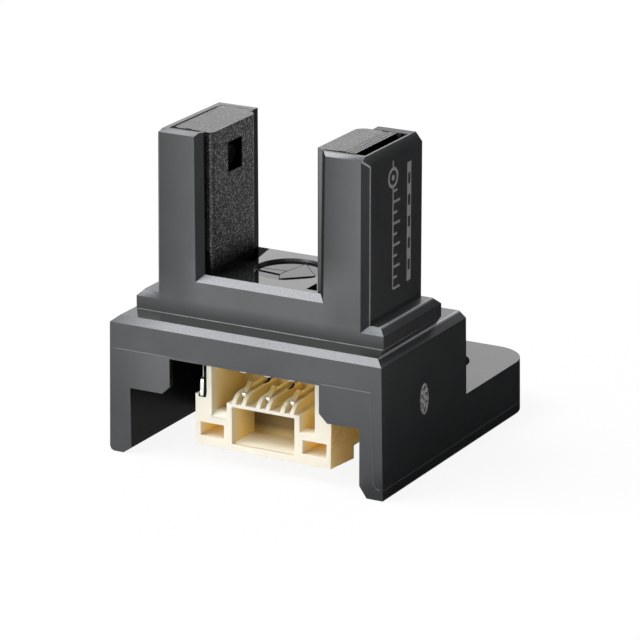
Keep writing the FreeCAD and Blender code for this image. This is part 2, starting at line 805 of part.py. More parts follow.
def make_tabs():
    # A metal tab each side of the connector, from its shoulder up to the board.
    knee = horn_top + d.tab_shoulder
    for side, turn in (("left", lambda x_range: x_range), ("right", mirrored)):
        name = "solder_tab_" + side
        body = new_body(name)
        plate = add_box(body, name + "_plate", turn(tab_x), (tab_y, tab_y + d.tab_length),
                        (horn_top - d.tab_sunk, knee))
        doc.recompute()
        corners = [edge for edge in edges_where(plate.Shape, lambda point: near(point.z, knee))
                   if abs(plate.Shape.getElement(edge).tangentAt(0).x) > 0.9]
        dress(body, "Fillet", name + "_corners", plate, corners, d.tab_round)
        neck_y = (tab_y + d.tab_round / 2, tab_y + d.tab_round / 2 + d.tab_neck_length)
        neck_x = (tab_x[1] - d.tab_neck_side - d.tab_neck_thickness, tab_x[1] - d.tab_neck_side)
        foot_x = (tab_x[1] - d.tab_foot, tab_x[1])
        add_box(body, name + "_neck", turn(neck_x), neck_y, (knee, board_z))
        add_box(body, name + "_foot", turn(foot_x), neck_y, (board_z - d.tab_foot_thickness, board_z))
        keep(name, body)


def make_contacts():
    # Each contact runs from a foot on the board, through the housing's back wall and
    # forward between two ribs, and hooks back over its own tip.
    thick = d.contact_thickness
    low = bay_floor + d.contact_rise
    tip = shell_y + d.contact_tip_back
    down = shell_back + d.contact_behind
    hook_y = tip + d.contact_hook_run
    hook_z = low + thick + d.contact_hook_rise
    for number, centre in enumerate(contact_places, start=1):
        name = f"contact_{number}"
        body = new_body(name)
        add(body, name + "_strip", "YZ", centre - d.contact_width / 2, d.contact_width, [
            (foot_back, board_z),
            (foot_back, board_z - thick),
            (down + thick, board_z - thick),
            (down + thick, low),
            (tip + thick * 0.7, low),
            (tip, low + thick * 0.7),
            (tip, low + thick * 1.7),
            (hook_y - thick * 0.4, hook_z + thick),
            (hook_y + thick * 0.4, hook_z),
            (tip + thick * 1.6, low + thick),
            (down, low + thick),
            (down, board_z),
        ])
        keep(name, body)


def make_chip_parts():
    # Surface-mount parts in a row behind the connector.
    row_y = (chip_row_y, chip_row_y + d.chip_part_width)
    proud = d.chip_cap_proud
    row_x = shell_centre - d.chip_row_pitch - d.chip_part_length / 2
    for step, name in enumerate(("emitter_resistor", "pull_up_resistor", "bypass_capacitor")):
        body = new_body(name)
        left = row_x + d.chip_row_pitch * step
        right = left + d.chip_part_length
        add_box(body, name + "_body", (left + d.chip_cap_length, right - d.chip_cap_length), row_y,
                (board_z - d.chip_part_height, board_z - proud))
        for end, cap_x in (("left", (left, left + d.chip_cap_length)),
                           ("right", (right - d.chip_cap_length, right))):
            add_box(body, f"{name}_{end}_cap", cap_x, (row_y[0] - proud, row_y[1] + proud),
                    (board_z - d.chip_part_height - proud, board_z))
        keep(name, body)


def check_model():
    # Stops the build on a failed feature or an unsound solid.
    for item in doc.Objects:
        if "Invalid" in item.State or "Error" in item.State:
            raise RuntimeError(f"{item.Label} failed: {item.State}")
    for name, feature in nodes.items():
        shape = feature.Shape
        if shape.isNull() or not shape.isValid() or shape.Volume <= 0:
            raise RuntimeError(f"{name} is not a sound solid")


make_case()
make_holder("emitter_holder", slot_left, -1, d.left_lip, emitter_width, d.emitter_behind,
            (d.lens_diameter + d.window_side * 2, d.lens_diameter + d.window_end * 2))
make_holder("receiver_holder", slot_right, 1, d.right_lip, receiver_width, None,
            (d.slit_width, d.lens_diameter + d.window_end * 2))
emitter_inside = make_leads("emitter", ("anode", "cathode"), lead_rows["left"], 0, 1)
receiver_inside = make_leads("receiver", ("supply", "output", "ground"), lead_rows["right"], 1, -1)
make_package("emitter_led", emitter_x, 1, d.emitter_lens_rise, emitter_inside)
make_package("receiver_ic", receiver_x, -1, d.receiver_lens_rise, receiver_inside)
make_board()
make_solder()
make_connector()
make_tabs()
make_contacts()
make_chip_parts()
doc.recompute()
check_model()

os.makedirs("parts", exist_ok=True)
for name, feature in nodes.items():
    feature.Shape.exportStep(os.path.join("parts", name + ".step"))
    print(f"{name}: {len(feature.Shape.Solids)} solid, {feature.Shape.Volume:.4f} cubic mm")
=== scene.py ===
import math

import bmesh
import bpy
from mathutils import Matrix, Vector


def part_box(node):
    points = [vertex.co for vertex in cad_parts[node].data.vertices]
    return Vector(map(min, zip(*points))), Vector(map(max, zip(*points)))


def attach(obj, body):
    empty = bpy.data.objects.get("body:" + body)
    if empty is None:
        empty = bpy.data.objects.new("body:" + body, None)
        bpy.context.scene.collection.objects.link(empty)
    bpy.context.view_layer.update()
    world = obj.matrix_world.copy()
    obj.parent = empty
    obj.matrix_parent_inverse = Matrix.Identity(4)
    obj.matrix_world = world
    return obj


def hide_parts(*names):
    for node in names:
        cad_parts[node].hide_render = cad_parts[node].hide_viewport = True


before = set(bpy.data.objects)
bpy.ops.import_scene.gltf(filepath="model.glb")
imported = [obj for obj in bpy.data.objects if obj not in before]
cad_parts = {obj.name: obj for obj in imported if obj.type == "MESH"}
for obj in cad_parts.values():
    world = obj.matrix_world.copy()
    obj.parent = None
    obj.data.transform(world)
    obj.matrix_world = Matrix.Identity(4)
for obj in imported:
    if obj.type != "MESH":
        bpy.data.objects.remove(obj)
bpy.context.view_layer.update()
mm = 0.001
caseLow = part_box("case")[0]


def caseAt(x, y, z):
    # the place that many millimetres from the case's left side, front and bottom
    return caseLow + Vector((x, y, z)) * mm


def fromCase(place):
    # the other way round: a place in millimetres from the case's corner
    return (place - caseLow) / mm


class Field:
    # a socket of one finish; sums on it add Math nodes
    def __init__(self, finish, socket):
        self.finish = finish
        self.socket = socket

    def math(self, operation, *values):
        return self.finish.node("ShaderNodeMath", {"operation": operation}, dict(enumerate(values)))

    def __add__(self, other):
        return self.math("ADD", self, other)

    __radd__ = __add__

    def __sub__(self, other):
        return self.math("SUBTRACT", self, other)

    def __rsub__(self, other):
        return self.math("SUBTRACT", other, self)

    def __mul__(self, other):
        return self.math("MULTIPLY", self, other)

    __rmul__ = __mul__

    def __truediv__(self, other):
        return self.math("DIVIDE", self, other)

    def __pow__(self, other):
        return self.math("POWER", self, other)

    def __abs__(self):
        return self.math("ABSOLUTE", self)

    def clamped(self):
        return self.math("MINIMUM", self.math("MAXIMUM", self, 0.0), 1.0)


def above(value, limit, soft):
    # 0 below the limit, 1 above it, with an edge as wide as soft
    return ((value - limit) / soft + 0.5).clamped()


def below(value, limit, soft):
    return above(limit - value, 0, soft)


def between(value, low, high, soft=0.04):
    return above(value, low, soft) * below(value, high, soft)


def near(value, centre, half):
    # 1 at the centre, falling to 0 at half on both sides
    return (1 - abs(value - centre) / half).clamped()


def graded(amount, low, high):
    # from low to high as amount goes from 0 to 1
    return amount * (high - low) + low


def swapped(value, amount, other):
    # the value where amount is 0, the other one where it is 1
    return value * (1 - amount) + amount * other


def away(first, second, centre, sizes=(1, 1)):
    # how far two coordinates lie from a centre, in units of the sizes
    offsets = zip((first, second), centre, sizes)
    return sum(((value - middle) / size) ** 2 for value, middle, size in offsets) ** 0.5


def weighed(fields, shares):
    # the sum of the named fields, each times its share
    return sum(fields[name] * share for name, share in shares.items())


def uneven(noises, swings):
    # how far the named noises move a value up and down
    return sum((noises[name] - 0.5) * swing for name, swing in swings.items())


class Finish:
    # one procedural material
    colourInputs = (6, 7)                  # the Mix node's sockets for colours
    colourOutput = 2
    deepBlack = (0.002, 0.002, 0.002, 1)

    def __init__(self, name):
        self.material = bpy.data.materials.new(name)
        self.material.use_nodes = True
        self.tree = self.material.node_tree
        self.tree.nodes.clear()
        self.place = self.node("ShaderNodeTexCoord", {}, {}, "Object")
        # millimetres from the case's left, front and bottom
        sides = self.parts(self.place)
        self.x, self.y, self.z = [(side - low) / mm for side, low in zip(sides, caseLow)]
        turn = self.node("ShaderNodeTexCoord", {}, {}, "Normal")
        self.faceX, self.faceY, self.faceZ = self.parts(turn)

    def parts(self, vector):
        made = self.node("ShaderNodeSeparateXYZ", {}, {0: vector}).socket.node
        return [Field(self, socket) for socket in made.outputs]

    def node(self, kind, settings, inputs, output=0):
        made = self.tree.nodes.new(kind)
        for key, value in settings.items():
            setattr(made, key, value)
        for key, value in inputs.items():
            if isinstance(value, Field):
                self.tree.links.new(value.socket, made.inputs[key])
            else:
                made.inputs[key].default_value = value
        return Field(self, made.outputs[output])

    def noise(self, grain, detail, roughness=0.5, stretch=(1, 1, 1)):
        # grain is the size of a speck in millimetres
        scale = tuple(side / (grain * mm) for side in stretch)
        moved = self.node("ShaderNodeMapping", {}, {"Vector": self.place, "Scale": scale})
        inputs = {"Vector": moved, "Scale": 1.0, "Detail": detail, "Roughness": roughness}
        return self.node("ShaderNodeTexNoise", {}, inputs, "Fac")

    def noises(self, settings):
        # each has the size of a speck in millimetres, then detail, roughness and stretch
        return {name: self.noise(*values) for name, values in settings.items()}

    def coordinate(self, name):
        # x, y, z or a facing, or one that leans along another: both names, the pivot and the slope
        if isinstance(name, str):
            return getattr(self, name)
        first, second, pivot, slope = name
        return getattr(self, first) + (getattr(self, second) - pivot) * slope

    def zone(self, conditions):
        # 1 where all conditions hold; each gives a coordinate, a limit and its numbers
        return math.prod(limit(self.coordinate(side), *numbers) for side, limit, *numbers in conditions)

    def zones(self, settings):
        return {name: self.zone(conditions) for name, conditions in settings.items()}

    def blend(self, amount, first, second):
        # the first colour where amount is 0, the second where it is 1
        inputs = {"Factor": amount}
        for key, colour in zip(self.colourInputs, (first, second)):
            inputs[key] = colour if isinstance(colour, Field) else (*colour, 1)
        return self.node("ShaderNodeMix", {"data_type": "RGBA"}, inputs, self.colourOutput)

    def painted(self, tone, coats, amounts):
        # lays the coats over the tone in turn; each has a colour and the most that it covers
        for name, (colour, most) in coats.items():
            tone = self.blend(amounts[name] * most, tone, colour)
        return tone

    def bump(self, height, depth):
        # depth is the height of a full step in millimetres
        return self.node("ShaderNodeBump", {}, {"Height": height, "Distance": depth * mm, "Strength": 1.0})

    def surface(self, unlit=None, **sockets):
        # unlit is painted shade: the share of the surface mixed into black, as in a deep gap
        inputs = {key.replace("_", " "): value for key, value in sockets.items()}
        shader = self.node("ShaderNodeBsdfPrincipled", {}, inputs)
        if unlit is not None:
            black = self.node("ShaderNodeBsdfDiffuse", {}, {"Color": self.deepBlack})
            shader = self.node("ShaderNodeMixShader", {}, {0: unlit, 1: shader, 2: black})
        end = self.tree.nodes.new("ShaderNodeOutputMaterial")
        self.tree.links.new(shader.socket, end.inputs["Surface"])
        return self.material


print("frame and helpers ready")


def finishPiece(name, shape, finish, replaced=()):
    # a mesh object from a bmesh, riding on the sensor
    mesh = bpy.data.meshes.new(name)
    shape.to_mesh(mesh)
    shape.free()
    mesh.shade_smooth()
    mesh.materials.append(finish)
    piece = bpy.data.objects.new(name, mesh)
    bpy.context.scene.collection.objects.link(piece)
    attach(piece, "root")
    if replaced:
        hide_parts(*replaced)
    return piece


shapeSetting = {
    "mergeWithin": 0.0005,                 # millimetres
    "flatWithin": 0.6,                     # degrees between faces that count as one
    "roundFrom": 24,                       # degrees between faces whose edge is rounded
    "roundTurns": 2,
    "cornerWithin": 0.012,                 # millimetres from a corner that is looked for
}


def softened(piece, width):
    # rounds every sharp edge by a modifier and evens the shading
    bevel = piece.modifiers.new("edgeRound", "BEVEL")
    bevel.width = width * mm
    bevel.segments = shapeSetting["roundTurns"]
    bevel.limit_method = "ANGLE"
    bevel.angle_limit = math.radians(shapeSetting["roundFrom"])
    bevel.use_clamp_overlap = True
    bevel.miter_outer = "MITER_ARC"
    even = piece.modifiers.new("evenShading", "WEIGHTED_NORMAL")
    even.keep_sharp = False


def copiedNode(nodeName):
    # a merged copy of a CAD node with its flat faces whole again
    shape = bmesh.new()
    shape.from_mesh(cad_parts[nodeName].data)
    bmesh.ops.remove_doubles(shape, verts=shape.verts[:], dist=shapeSetting["mergeWithin"] * mm)
    bmesh.ops.dissolve_limit(shape, angle_limit=math.radians(shapeSetting["flatWithin"]),
                             verts=shape.verts[:], edges=shape.edges[:])
    return shape


def block(shape, low, high):
    # adds a box between two corners in millimetres
    size = Vector(high) - Vector(low)
    middle = (Vector(high) + Vector(low)) / 2
    place = Matrix.Translation(caseAt(*middle)) @ Matrix.Diagonal((*(size * mm), 1))
    bmesh.ops.create_cube(shape, size=1, matrix=place)


def prism(shape, corners, way):
    # adds the solid that a flat outline sweeps on its way
    places = [caseAt(*corner) for corner in corners]
    start = [shape.verts.new(place) for place in places]
    end = [shape.verts.new(place + Vector(way) * mm) for place in places]
    faces = [shape.faces.new(start), shape.faces.new(end)]
    for turn in range(len(corners)):
        faces.append(shape.faces.new((start[turn - 1], start[turn], end[turn], end[turn - 1])))
    bmesh.ops.recalc_face_normals(shape, faces=faces)


def bevelled(shape, chosen, width, turns=1):
    edges = [edge for edge in shape.edges if all(chosen(fromCase(vertex.co)) for vertex in edge.verts)]
    bmesh.ops.bevel(shape, geom=edges, offset=width * mm, offset_type="OFFSET", segments=turns, profile=0.5,
                    affect="EDGES", material=-1, clamp_overlap=True)


def at(value, wanted):
    return abs(value - wanted) < shapeSetting["cornerWithin"]


def moved(shape, moves):
    # shifts the corners that lie between two places, all in millimetres
    for low, high, shift in moves:
        for vertex in shape.verts:
            place = fromCase(vertex.co)
            if all(first < side < last for first, side, last in zip(low, place, high)):
                vertex.co += Vector(shift) * mm


# conditions that several zones share; lengths in millimetres, facings from -1 to 1
lookingUp = ("faceZ", above, 0.8, 0.1)
notUp = ("faceZ", below, 0.8, 0.1)
lookingFront = ("faceY", below, -0.8, 0.1)
lookingRight = ("faceX", above, 0.8, 0.1)
turnedFront = ("faceY", below, -0.25, 0.2)
ofReceiver = ("x", above, 9, 0.1)
onFrontWall = [lookingFront, ("y", below, 0.1, 0.02)]
slopingFront = [("faceZ", above, 0.5, 0.2), ("faceY", below, -0.4, 0.2)]
onSlotFloor = [lookingUp, ("x", between, 4.56, 10.22, 0.02), ("z", between, 8.3, 8.65, 0.02)]
onNylonSide = [lookingRight, ("x", above, 10.6, 0.05)]


flashSetting = {
    "zones": {
        "levelLeft": [("z", near, 4.78, 0.035), ("x", between, 0.3, 3.14, 0.5)],
        "levelRight": [("z", near, 4.78, 0.035), ("x", between, 10.5, 12.98)],
        "upright": [(("x", "z", 4.78, 0.037), near, 13.0, 0.035), ("z", between, 0.75, 4.8)],
        "cornerPart": [("x", below, 13.47, 0.04), ("z", below, 0.78, 0.04)],
        "front": onFrontWall,
        "side": [lookingRight, ("z", near, 0.45, 0.04), ("y", between, 0.05, 14.4)],
    },
    "cornerCentre": (13.45, 0.76),         # across and up
    "cornerRadius": 0.3,
    "halfWidth": 0.035,
}


def flashLines(f):
    # lines that the mould's slide left round the front opening and low on the right side
    s = flashSetting
    on = f.zones(s["zones"])
    corner = near(away(f.x, f.z, s["cornerCentre"]), s["cornerRadius"], s["halfWidth"])
    lines = on["levelLeft"] + on["levelRight"] + on["upright"] + corner * on["cornerPart"]
    return (lines * on["front"] + on["side"]).clamped()


printSetting = {
    "arm": [("faceX", above, 0.95, 0.03), ("x", above, 12.5, 0.02), ("z", above, 7.8, 0.05)],
    "edge": 0.02,
    "axis": (2.69, 13.53),                 # the beam's place on the arm, from the front and up
    "ring": (0.32, 0.46),                  # inner and outer radius, in millimetres
    "dot": 0.13,
    # sides and ends of the spine's two parts and of the ruled bar's two lines
    "lines": [((2.64, 2.74), (8.6, 13.08)), ((2.64, 2.74), (13.98, 14.28)),
              ((3.98, 4.06), (8.6, 13.88)), ((4.26, 4.34), (8.6, 13.88))],
    "foot": 8.6,                           # the slot's floor
    "ticks": 10,
    "tickPitch": 0.48,
    "tickHalf": 0.055,
    "tickStart": 2.73,
    "tickEnds": (3.33, 3.07),              # long and short ones by turns
    "bar": ((3.98, 4.34), (8.6, 13.88)),
    "fieldPitch": 0.96,                    # a filled and an open field of the bar
    "fieldFill": 0.5,
    "fieldEdge": 0.04,
    "worn": (0.06, 2),
    "wear": (0.7, 1.1),
}


def depthScale(f):
    # a printed ring and scale show the height of the beam above the slot's floor
    s = printSetting
    edge = s["edge"]

    def filled(sides, ends):
        return between(f.y, *sides, edge) * between(f.z, *ends, edge)

    ringAway = away(f.y, f.z, s["axis"])
    mark = between(ringAway, *s["ring"], edge) + below(ringAway, s["dot"], edge)
    for sides, ends in s["lines"]:
        mark = mark + filled(sides, ends)
    for step in range(s["ticks"]):
        height = s["foot"] + step * s["tickPitch"]
        sides = (s["tickStart"], s["tickEnds"][step % 2])
        mark = mark + filled(sides, (height - s["tickHalf"], height + s["tickHalf"]))
    # the ruled bar beside the scale is filled in every second field
    field = (f.z - s["foot"]) / s["fieldPitch"]
    mark = mark + filled(*s["bar"]) * below(field.math("FRACT", field), s["fieldFill"], s["fieldEdge"])
    wear = graded(f.noise(*s["worn"]), *s["wear"])
    return mark.clamped() * f.zone(s["arm"]) * wear


# painted highlights along the case's edges: their places and shares
edgeHighlightSetting = {
    "zones": {
        "upright": [("x", between, 12.58, 12.63, 0.01), ("y", between, 0.6, 0.69, 0.02),
                    ("z", between, 7.56, 14.47)],
        "mitre": [(("z", "x", 12.61, 0.967), near, 14.48, 0.07), ("y", between, 0.34, 0.66, 0.02),
                  ("x", above, 12.33, 0.04), ("z", above, 14.4, 0.05)],
        "plinthRim": [("x", near, 13.15, 0.1), ("z", near, 6.25, 0.1), ("y", between, 0.4, 7.9)],
        "stepRim": [("x", near, 13.13, 0.1), ("z", near, 7.54, 0.1), ("y", between, 0.62, 5.4)],
        "backPlate": [lookingRight, ("x", between, 4.3, 4.7), ("y", between, 4.69, 4.86, 0.03),
                      ("z", above, 9.6, 1.2)],
    },
    "shares": {"upright": 0.42, "mitre": 1, "plinthRim": 1.5, "stepRim": 1.5, "backPlate": 0.35},
}


def paintedEdgeHighlights(f):
    # painted highlights on edges that catch the light
    return weighed(f.zones(edgeHighlightSetting["zones"]), edgeHighlightSetting["shares"]).clamped()


casePlasticSetting = {
    "dark": (0.033, 0.035, 0.038),
    "light": (0.078, 0.083, 0.088),
    "noises": {
        "drift": (5, 1, 0.5, (1, 1, 0.3)),
        "cloud": (1.6, 3),
        "grain": (0.05, 2),
        "speck": (0.09, 2, 0.6),
        "drawn": (0.07, 2, 0.5, (1, 1, 0.03)),
        "torn": (0.16, 3, 0.7),
        "brushed": (0.08, 2, 0.5, (1, 0.05, 1)),
        "broken": (0.25, 3, 0.7, (0.4, 0.4, 1)),
    },
    "zones": {
        "upward": [lookingUp],
        "rightward": [lookingRight],
        "sloping": slopingFront,
        "rightish": [("faceX", between, 0.6, 0.8, 0.1)],
        "leftish": [("faceX", below, -0.4, 0.1), ("faceZ", above, 0.3, 0.1), ("x", below, 6, 0.1)],
        "front": [lookingFront, ("y", below, 0.8, 0.02)],
        "foremost": onFrontWall,
        # the slot's floor, a triangle on it that is mixed towards black, and a painted reflection of the left
        # arm on it
        "floor": onSlotFloor,
        "darkTriangle": [*onSlotFloor, ("x", above, 9.37, 0.03), ("y", above, 0.92, 0.03),
                  (("y", "x", 9.37, 1.8), below, 1.9, 0.04)],
        "mirrored": [lookingUp, ("z", between, 8.3, 8.7, 0.02), ("y", between, 3.3, 5.5),
                     (("x", "y", 5.39, 0.18), below, 5.1, 0.05)],
        # the arms
        "innerCorner": [("faceX", below, -0.55, 0.1), ("faceY", below, -0.55, 0.1), ("x", above, 10, 0.1)],
        "armFront": [lookingFront, ("z", above, 7.7, 2)],
        "leftArm": [("x", below, 3.4, 1.8)],
        "besideSlot": [("x", between, 10.3, 12.3), ("x", below, 11.4, 1.8), ("z", above, 9.65, 1.5)],
        "rightArm": [("x", above, 10.8, 0.8), ("z", above, 8.5, 1.5)],
        "pocket": [("x", between, 11.93, 12.325, 0.01), ("y", between, 0.7, 4.68, 0.02),
                   ("z", below, 14.9, 0.06)],
        "rear": [lookingUp, ("x", above, 10.3, 0.02), ("y", above, 4.7, 0.05), ("y", below, 5.6, 0.02),
                 ("z", above, 14.5, 0.02)],
        "leftCrown": [*slopingFront, ("x", below, 6, 0.1), ("z", above, 14, 0.1)],
        "rightCrown": [("faceX", above, 0.6, 0.1), ("faceX", below, 0.96, 0.04), ("faceZ", above, 0.3, 0.1),
                       ("z", above, 14, 0.1)],
        # the plinth and the base
        "foot": [lookingFront, ("y", above, 0.3, 0.02), ("z", above, 6.26, 0.02), ("z", below, 7.1, 0.6)],
        "bridge": [("x", between, 4, 10.8, 0.8), ("z", between, 7.2, 9.2, 0.6)],
        "bead": [("z", near, 6.66, 0.06), ("y", below, 0.345, 0.01)],
        "webs": [("x", above, 1.6, 1.8), ("x", below, 4.5, 0.1), ("z", between, 1.8, 4.8, 0.1)],
        "leftEnd": [*slopingFront, ("x", below, 1.5, 3), ("z", below, 6.5, 0.1)],
        "lower": [("z", below, 2.9, 4.6)],
        "leftLeg": [("x", below, -0.25, 4.5)],
        "rightLeg": [("x", above, 9.6, 0.5), ("z", below, 4.9, 0.1)],
        "inside": [notUp, ("x", between, 0.6, 12.95, 0.02), ("y", between, 0.04, 7.9, 0.02),
                   ("z", below, 5.9, 0.02)],
        "gateSide": [lookingRight, ("x", above, 13.3, 0.05)],
    },
    "disc": ((7.39, 3.1), 1.6, 0.04),      # centre across and from the front, radius, edge
    "gateCentre": (3.93, 3.43),            # from the front and up
    "gateHalf": (0.4, 0.7),
    "gateEdge": 0.08,
    "rightLegShade": 0.16,
    "footGrain": (0.8, 1.1),
    "drifts": {"drift": 0.6, "cloud": 0.4},
    "bright": {"webs": 0.5, "bridge": 0.35, "rightArm": 0.3},
    "shaded": {"innerCorner": 1, "grainyFoot": 1, "rightward": 0.75, "low": 0.5, "armSide": 0.7,
               "floor": 0.75, "rear": 0.6, "upward": 0.25, "rightish": 0.6},
    "unlit": {"pocket": 1, "darkTriangle": 1, "inside": 0.8, "mirrored": 0.95, "onDisc": 0.2, "innerCorner": 0.5,
              "leftish": 0.4, "leftEnd": 0.6, "leftCrown": 0.3, "upwardElsewhere": 0.12},
    "tornFrom": (0.5, 0.12),
    "brokenFrom": (0.48, 0.3),
    "brokenShare": (0.35, 1),
    "beadLength": 14,
    "beadRise": (0.3, 0.8),
    "flashShare": (0.28, 0.58),            # on the front and on the right side
    "coats": {
        "lit": ((0.115, 0.12, 0.125), 1),
        "shade": ((0.007, 0.008, 0.008), 1),
        # painted sheen on the sloping front faces, speckled by noise
        "slopeSheen": ((0.20, 0.22, 0.25), 0.7),
        "brushed": ((0.10, 0.105, 0.11), 0.5),
        "torn": ((0.34, 0.34, 0.33), 1),
        "print": ((0.30, 0.29, 0.27), 1),
        # painted highlight along the parting bead
        "bead": ((0.24, 0.24, 0.24), 1),
        "flash": ((0.12, 0.12, 0.122), 1),
        # painted highlights on edges
        "edgeHighlight": ((0.42, 0.43, 0.44), 1),
    },
    "roughness": 0.33,
    "roughnessSwings": {"grain": 0.16, "drawn": 0.12, "cloud": 0.06},
    "slopingSwings": {"speck": 0.16},
    "rougher": {"innerCorner": 0.3, "foot": 0.15, "rear": 0.15},
    "floorRoughness": 0.035,
    "gateRoughness": 0.75,
    "reliefs": {"grain": 0.35, "drawn": 0.3, "flash": 2.0, "gate": 8.0},
    "reliefDepth": 0.004,
}


def casePlastic():
    s = casePlasticSetting
    f = Finish("casePlastic")
    noise = f.noises(s["noises"])
    on = f.zones(s["zones"])
    centre, radius, edge = s["disc"]
    on["onDisc"] = below(away(f.x, f.y, centre), radius, edge) * on["floor"]
    on["upwardElsewhere"] = on["upward"] * (1 - on["floor"])
    on["grainyFoot"] = on["foot"] * graded(noise["grain"], *s["footGrain"])
    on["low"] = (on["lower"] + on["leftLeg"]).clamped() + on["rightLeg"] * s["rightLegShade"]
    on["low"] = on["low"] * on["foremost"]
    on["armSide"] = (on["leftArm"] + on["besideSlot"]).clamped() * on["armFront"]
    gateAway = away(f.y, f.z, s["gateCentre"], s["gateHalf"])
    gate = below(gateAway, 1, s["gateEdge"]) * on["gateSide"]
    flash = flashLines(f)

    broken = graded(above(noise["broken"], *s["brokenFrom"]), *s["brokenShare"])
    tone = f.blend(weighed(noise, s["drifts"]), s["dark"], s["light"])
    tone = f.painted(tone, s["coats"], {
        "lit": (weighed(on, s["bright"]) * on["front"]).clamped(),
        "shade": weighed(on, s["shaded"]).clamped(),
        # painted sheen on the sloping front faces, speckled by noise
        "slopeSheen": on["sloping"] * noise["speck"],
        "brushed": on["rightCrown"] * noise["brushed"],
        "torn": gate * above(noise["torn"], *s["tornFrom"]),
        "print": depthScale(f),
        # painted highlight along the parting bead, lighter towards the right and broken by noise
        "bead": on["bead"] * graded(f.x / s["beadLength"], *s["beadRise"]) * broken,
        "flash": flash * graded(on["rightward"], *s["flashShare"]),
        # painted highlights on edges
        "edgeHighlight": paintedEdgeHighlights(f),
    })
    rough = s["roughness"] + uneven(noise, s["roughnessSwings"]) + weighed(on, s["rougher"])
    rough = rough + on["sloping"] * uneven(noise, s["slopingSwings"])
    rough = swapped(rough, on["floor"], s["floorRoughness"])
    rough = swapped(rough, gate, s["gateRoughness"])
    reliefs = {
        "grain": noise["grain"] * (1 - on["floor"]),
        "drawn": noise["drawn"] * (1 - on["upward"]),
        "flash": flash,
        "gate": gate * noise["torn"],
    }
    normal = f.bump(weighed(reliefs, s["reliefs"]), s["reliefDepth"])
    unlit = weighed(on, s["unlit"]).clamped()
    return f.surface(unlit, Base_Color=tone, Roughness=rough.clamped(), Normal=normal, IOR=1.5,
                     Specular_IOR_Level=0.5)


holderSetting = {
    "dark": (0.004, 0.005, 0.005),
    "light": (0.31, 0.315, 0.32),
    "specksFrom": (0.57, 0.14),
    "noises": {"coarse": (0.078, 1, 0.6), "fine": (0.0312, 2, 0.6), "drift": (1.5, 2)},
    "zones": {
        "upward": [lookingUp],
        "crown": [lookingUp, ("z", above, 14.4, 0.05)],
        "turned": [turnedFront],
        "corner": [turnedFront, ("x", above, 4.5, 0.1), ("x", below, 4.75, 0.06)],
        "window": [("x", below, 4.9, 0.02), ("y", between, 1.7, 3.7), ("z", between, 12.5, 14.45)],
        "foot": [("x", below, 9, 0.1), ("z", below, 9.25, 0.9)],
        "rearEdgeHighlight": [notUp, ("x", below, 5.2, 0.1), ("y", between, 4.5, 4.75, 0.02), ("z", above, 9.2, 0.8)],
        # the receiver's block
        "receiver": [ofReceiver],
        "outerSide": [lookingRight, ofReceiver],
        "slotSide": [("faceX", below, -0.5, 0.1), ofReceiver],
        "rise": [("z", above, 11.5, 5)],
        "grooved": [lookingUp, ("x", above, 11.2, 0.3), ("x", below, 11.8, 0.1)],
    },
    "groovePitch": 0.19,
    "turnedShare": (0.55, 0.95),           # on the emitter's and on the receiver's block
    "undercoats": {
        "top": ((0.06, 0.06, 0.057), 0.78),
        # painted shade on the faces turned to the front, most on the receiver's block
        "turned": ((0.012, 0.013, 0.014), 1),
    },
    # painted shade on the receiver's front strip, lighter towards the top
    "strip": ((0.045, 0.047, 0.05), (0.085, 0.088, 0.092)),
    "overcoats": {
        # painted shade in the receiver's top grooves
        "grooves": ((0.012, 0.012, 0.012), 0.4),
        # painted shade on the receiver's slot side
        "slotSide": ((0.03, 0.031, 0.032), 0.75),
        # painted highlight on the emitter block's rear edge
        "rearEdgeHighlight": ((0.30, 0.30, 0.29), 0.7),
    },
    "roughness": 0.42,
    "roughnessSwings": {"fine": 0.3, "drift": 0.08},
    "turnedRougher": 0.1,
    "topFlatter": 0.6,
    "stripFlatter": 0.8,
    "reliefs": {"coarse": 1, "fine": 0.3, "drawn": 0.3},
    "reliefDepth": 0.08,
    "grooveShade": (0.3, 0.4),
    "unlit": {"corner": 0.9, "window": 1, "outerSide": 1, "foot": 0.9, "grooves": 0.2, "upward": 0.06},
}


def holderPlastic():
    # spark-eroded grain of the two optical blocks
    s = holderSetting
    f = Finish("holderPlastic")
    noise = f.noises(s["noises"])
    on = f.zones(s["zones"])
    wave = f.x * (2 * math.pi / s["groovePitch"])
    drawn = wave.math("SINE", wave) * on["grooved"]
    strip = on["turned"] * on["receiver"]
    on["window"] = on["window"] * (1 - on["crown"])
    on["grooves"] = above(drawn, *s["grooveShade"])

    tone = f.blend(above(noise["coarse"], *s["specksFrom"]), s["dark"], s["light"])
    # painted shade on the faces turned to the front
    turned = on["turned"] * graded(on["receiver"], *s["turnedShare"])
    tone = f.painted(tone, s["undercoats"], {"top": on["upward"], "turned": turned})
    # painted shade on the receiver's front strip, lighter towards the top
    tone = f.blend(strip, tone, f.blend(on["rise"], *s["strip"]))
    # painted shade in the grooves and on the slot side, painted highlight on the rear edge
    tone = f.painted(tone, s["overcoats"], dict(on, grooves=drawn.clamped()))
    rough = s["roughness"] + uneven(noise, s["roughnessSwings"]) + on["turned"] * s["turnedRougher"]
    flatter = (1 - on["upward"] * s["topFlatter"]) * (1 - strip * s["stripFlatter"])
    reliefs = {"coarse": noise["coarse"] * flatter, "fine": noise["fine"], "drawn": drawn}
    normal = f.bump(weighed(reliefs, s["reliefs"]), s["reliefDepth"])
    unlit = weighed(on, s["unlit"]).clamped()
    return f.surface(unlit, Base_Color=tone, Roughness=rough.clamped(), Normal=normal)


